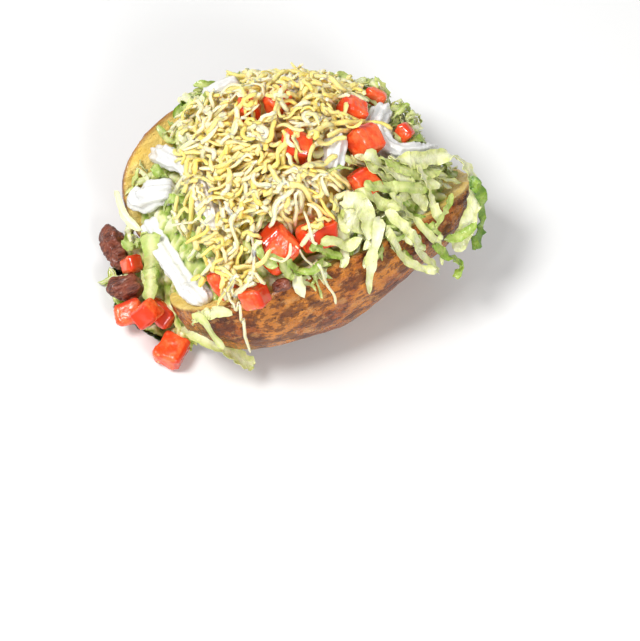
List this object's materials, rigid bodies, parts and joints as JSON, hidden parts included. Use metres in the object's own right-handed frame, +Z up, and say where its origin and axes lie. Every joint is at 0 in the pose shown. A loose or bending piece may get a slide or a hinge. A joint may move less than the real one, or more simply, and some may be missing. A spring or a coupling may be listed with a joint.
{
  "type": "baked potato",
  "caption": "Baked potato split lengthwise, opened and heaped with lettuce, grated cheese, cream, diced tomato and meat.",
  "frame": {"origin": "middle of the flat spot under the potato, at the level that it rests on", "axes": "+X along the potato, +Y towards the thinner half, +Z up"},
  "size_m": [0.1555, 0.1172, 0.0911],
  "materials": {
    "skin": "oiled, mottled",
    "lettuce": "crisp, damp",
    "cheese": "waxy",
    "cream": "soft gloss",
    "tomato": "wet",
    "meat": "moist"
  },
  "bodies": {
    "root": {"cheese": "cheese", "cream_1": "cream", "cream_2": "cream", "cream_3": "cream", "cream_4": "cream", "cream_5": "cream", "cream_6": "cream", "cream_7": "cream", "lettuce": "lettuce", "meat_1": "meat", "meat_2": "meat", "meat_3": "meat", "potato": "skin", "tomato_01": "tomato", "tomato_02": "tomato", "tomato_03": "tomato", "tomato_04": "tomato", "tomato_05": "tomato", "tomato_06": "tomato", "tomato_07": "tomato", "tomato_08": "tomato", "tomato_09": "tomato", "tomato_10": "tomato", "tomato_11": "tomato", "tomato_12": "tomato", "tomato_13": "tomato", "tomato_14": "tomato", "tomato_15": "tomato", "tomato_16": "tomato", "tomato_17": "tomato"}
  },
  "joints": []
}
